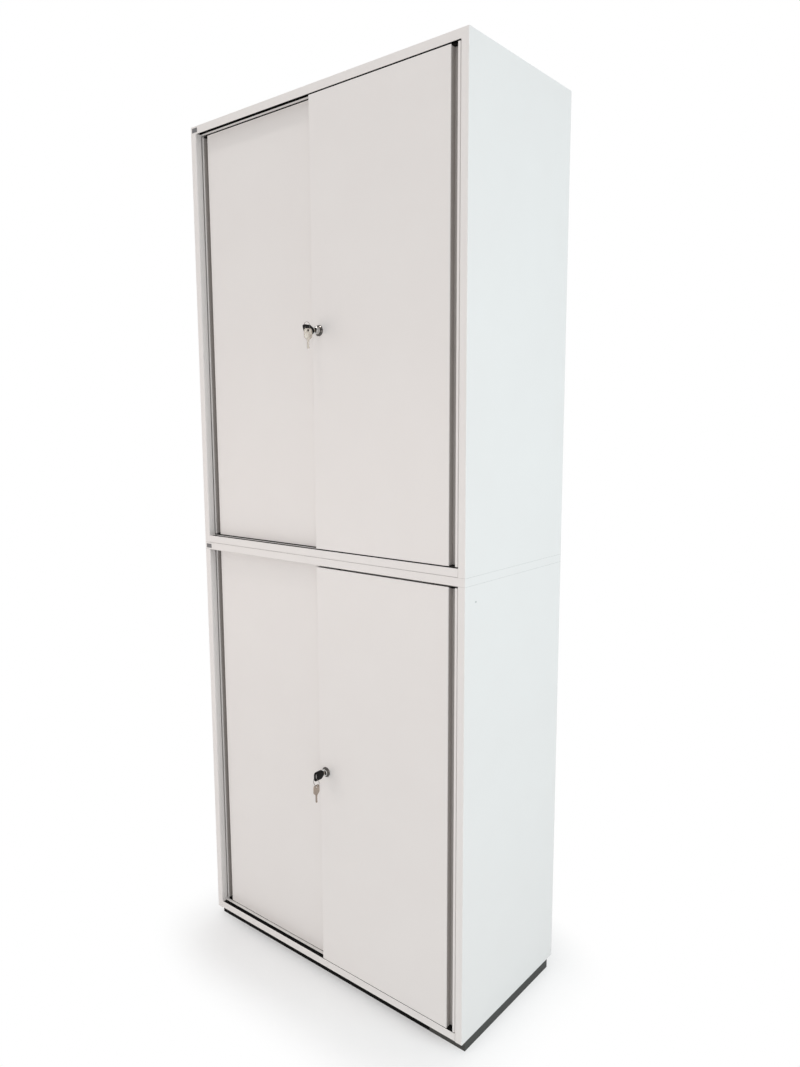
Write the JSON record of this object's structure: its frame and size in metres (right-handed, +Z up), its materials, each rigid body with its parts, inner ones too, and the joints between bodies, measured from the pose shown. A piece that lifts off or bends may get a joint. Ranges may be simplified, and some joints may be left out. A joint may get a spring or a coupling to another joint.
{
  "type": "sliding door cabinet",
  "caption": "Tall steel storage cabinet in two stacked bodies, each with folded sliding doors on rollers, grip channels, a push lock with keys, and adjustable shelves.",
  "frame": {"origin": "on the floor, under the middle of the bounding box in plan", "axes": "+Z up, the doors face -Y, +X to the right seen from the front"},
  "size_m": [0.9, 0.4833, 2.26],
  "materials": {
    "white_paint": "satin powder coat",
    "plinth_paint": "satin powder coat",
    "black_plastic": "extruded",
    "nylon": "moulded",
    "zinc_steel": "zinc plated",
    "chrome": "polished",
    "key_steel": "nickel plated",
    "bow_plastic": "moulded",
    "badge_plastic": "moulded"
  },
  "bodies": {
    "cabinet": {"plinth_front": "plinth_paint", "plinth_back": "plinth_paint", "plinth_sides": "plinth_paint", "door_tracks": "black_plastic", "shelf_uprights": "white_paint", "shelf_clips": "zinc_steel", "badge_plates": "badge_plastic", "joining_bolts": "zinc_steel", "lower_side_left": "white_paint", "lower_side_right": "white_paint", "lower_bottom_tray": "white_paint", "lower_top_cap": "white_paint", "lower_back_panel": "white_paint", "lower_shelf_low": "white_paint", "lower_shelf_high": "white_paint", "upper_side_left": "white_paint", "upper_side_right": "white_paint", "upper_bottom_tray": "white_paint", "upper_top_cap": "white_paint", "upper_back_panel": "white_paint", "upper_shelf_low": "white_paint", "upper_shelf_high": "white_paint"},
    "lower_front_door": {"lower_front_door": "white_paint", "lower_front_door_stiffener": "white_paint", "lower_front_door_carriers": "zinc_steel", "lower_front_door_guides": "nylon", "lower_lock_case": "chrome"},
    "lower_front_wheel_left": {"lower_front_wheel_left": "nylon"},
    "lower_front_wheel_right": {"lower_front_wheel_right": "nylon"},
    "lower_rear_door": {"lower_rear_door": "white_paint", "lower_rear_door_stiffener": "white_paint", "lower_rear_door_carriers": "zinc_steel", "lower_rear_door_guides": "nylon"},
    "lower_rear_wheel_left": {"lower_rear_wheel_left": "nylon"},
    "lower_rear_wheel_right": {"lower_rear_wheel_right": "nylon"},
    "lower_barrel": {"lower_lock_barrel": "chrome"},
    "lower_key": {"lower_lock_plug": "chrome", "lower_key_blade": "key_steel", "lower_key_bow": "bow_plastic"},
    "lower_key_hanging": {"lower_key_ring": "key_steel", "lower_spare_key": "key_steel"},
    "upper_front_door": {"upper_front_door": "white_paint", "upper_front_door_stiffener": "white_paint", "upper_front_door_carriers": "zinc_steel", "upper_front_door_guides": "nylon", "upper_lock_case": "chrome"},
    "upper_front_wheel_left": {"upper_front_wheel_left": "nylon"},
    "upper_front_wheel_right": {"upper_front_wheel_right": "nylon"},
    "upper_rear_door": {"upper_rear_door": "white_paint", "upper_rear_door_stiffener": "white_paint", "upper_rear_door_carriers": "zinc_steel", "upper_rear_door_guides": "nylon"},
    "upper_rear_wheel_left": {"upper_rear_wheel_left": "nylon"},
    "upper_rear_wheel_right": {"upper_rear_wheel_right": "nylon"},
    "upper_barrel": {"upper_lock_barrel": "chrome"},
    "upper_key": {"upper_lock_plug": "chrome", "upper_key_blade": "key_steel", "upper_key_bow": "bow_plastic", "upper_key_ring": "key_steel"},
    "upper_key_hanging": {"upper_spare_key": "key_steel"}
  },
  "joints": [
    {"name": "lower_front_door_slide", "type": "slide", "parent": "cabinet", "child": "lower_front_door", "axis": [-1, 0, 0], "range_m": [0, 0.4205]},
    {"name": "lower_front_wheel_left_turn", "type": "hinge", "parent": "lower_front_door", "child": "lower_front_wheel_left", "pos_m": [0.0535, -0.1829, 0.055], "axis": [0, -1, 0], "range_deg": [-12, 3224.4]},
    {"name": "lower_front_wheel_right_turn", "type": "hinge", "parent": "lower_front_door", "child": "lower_front_wheel_right", "pos_m": [0.3445, -0.1829, 0.055], "axis": [0, -1, 0], "range_deg": [-12, 3224.4]},
    {"name": "lower_rear_door_slide", "type": "slide", "parent": "cabinet", "child": "lower_rear_door", "axis": [-1, 0, 0], "range_m": [-0.403, 0]},
    {"name": "lower_rear_wheel_left_turn", "type": "hinge", "parent": "lower_rear_door", "child": "lower_rear_wheel_left", "pos_m": [-0.3505, -0.1619, 0.055], "axis": [0, -1, 0], "range_deg": [-3090.7, 12]},
    {"name": "lower_rear_wheel_right_turn", "type": "hinge", "parent": "lower_rear_door", "child": "lower_rear_wheel_right", "pos_m": [-0.029, -0.1619, 0.055], "axis": [0, -1, 0], "range_deg": [-3090.7, 12]},
    {"name": "lower_barrel_slide", "type": "slide", "parent": "lower_front_door", "child": "lower_barrel", "axis": [0, -1, 0], "range_m": [0, 0.008]},
    {"name": "lower_key_turn", "type": "hinge", "parent": "lower_barrel", "child": "lower_key", "pos_m": [0.017, -0.196, 0.583], "axis": [0, -1, 0], "range_deg": [0, 90]},
    {"name": "lower_key_ring_swing", "type": "hinge", "parent": "lower_key", "child": "lower_key_hanging", "pos_m": [0.017, -0.225, 0.5779], "axis": [1, 0, 0], "range_deg": [-60, 28]},
    {"name": "upper_front_door_slide", "type": "slide", "parent": "cabinet", "child": "upper_front_door", "axis": [-1, 0, 0], "range_m": [0, 0.4205]},
    {"name": "upper_front_wheel_left_turn", "type": "hinge", "parent": "upper_front_door", "child": "upper_front_wheel_left", "pos_m": [0.0535, -0.1829, 1.171], "axis": [0, -1, 0], "range_deg": [-12, 3224.4]},
    {"name": "upper_front_wheel_right_turn", "type": "hinge", "parent": "upper_front_door", "child": "upper_front_wheel_right", "pos_m": [0.3445, -0.1829, 1.171], "axis": [0, -1, 0], "range_deg": [-12, 3224.4]},
    {"name": "upper_rear_door_slide", "type": "slide", "parent": "cabinet", "child": "upper_rear_door", "axis": [-1, 0, 0], "range_m": [-0.403, 0]},
    {"name": "upper_rear_wheel_left_turn", "type": "hinge", "parent": "upper_rear_door", "child": "upper_rear_wheel_left", "pos_m": [-0.3505, -0.1619, 1.171], "axis": [0, -1, 0], "range_deg": [-3090.7, 12]},
    {"name": "upper_rear_wheel_right_turn", "type": "hinge", "parent": "upper_rear_door", "child": "upper_rear_wheel_right", "pos_m": [-0.029, -0.1619, 1.171], "axis": [0, -1, 0], "range_deg": [-3090.7, 12]},
    {"name": "upper_barrel_slide", "type": "slide", "parent": "upper_front_door", "child": "upper_barrel", "axis": [0, -1, 0], "range_m": [-0.008, 0]},
    {"name": "upper_key_turn", "type": "hinge", "parent": "upper_barrel", "child": "upper_key", "pos_m": [0.017, -0.204, 1.699], "axis": [0, -1, 0], "range_deg": [-18, 72]},
    {"name": "upper_spare_key_swing", "type": "hinge", "parent": "upper_key", "child": "upper_key_hanging", "pos_m": [0.025, -0.233, 1.696], "axis": [1, 0, 0], "range_deg": [-45, 22]}
  ],
  "couplings": [
    {"joint": "lower_front_wheel_left_turn", "follows": "lower_front_door_slide", "rad_per_m": 133.33},
    {"joint": "lower_front_wheel_right_turn", "follows": "lower_front_door_slide", "rad_per_m": 133.33},
    {"joint": "lower_rear_wheel_left_turn", "follows": "lower_rear_door_slide", "rad_per_m": 133.33},
    {"joint": "lower_rear_wheel_right_turn", "follows": "lower_rear_door_slide", "rad_per_m": 133.33},
    {"joint": "upper_front_wheel_left_turn", "follows": "upper_front_door_slide", "rad_per_m": 133.33},
    {"joint": "upper_front_wheel_right_turn", "follows": "upper_front_door_slide", "rad_per_m": 133.33},
    {"joint": "upper_rear_wheel_left_turn", "follows": "upper_rear_door_slide", "rad_per_m": 133.33},
    {"joint": "upper_rear_wheel_right_turn", "follows": "upper_rear_door_slide", "rad_per_m": 133.33}
  ]
}
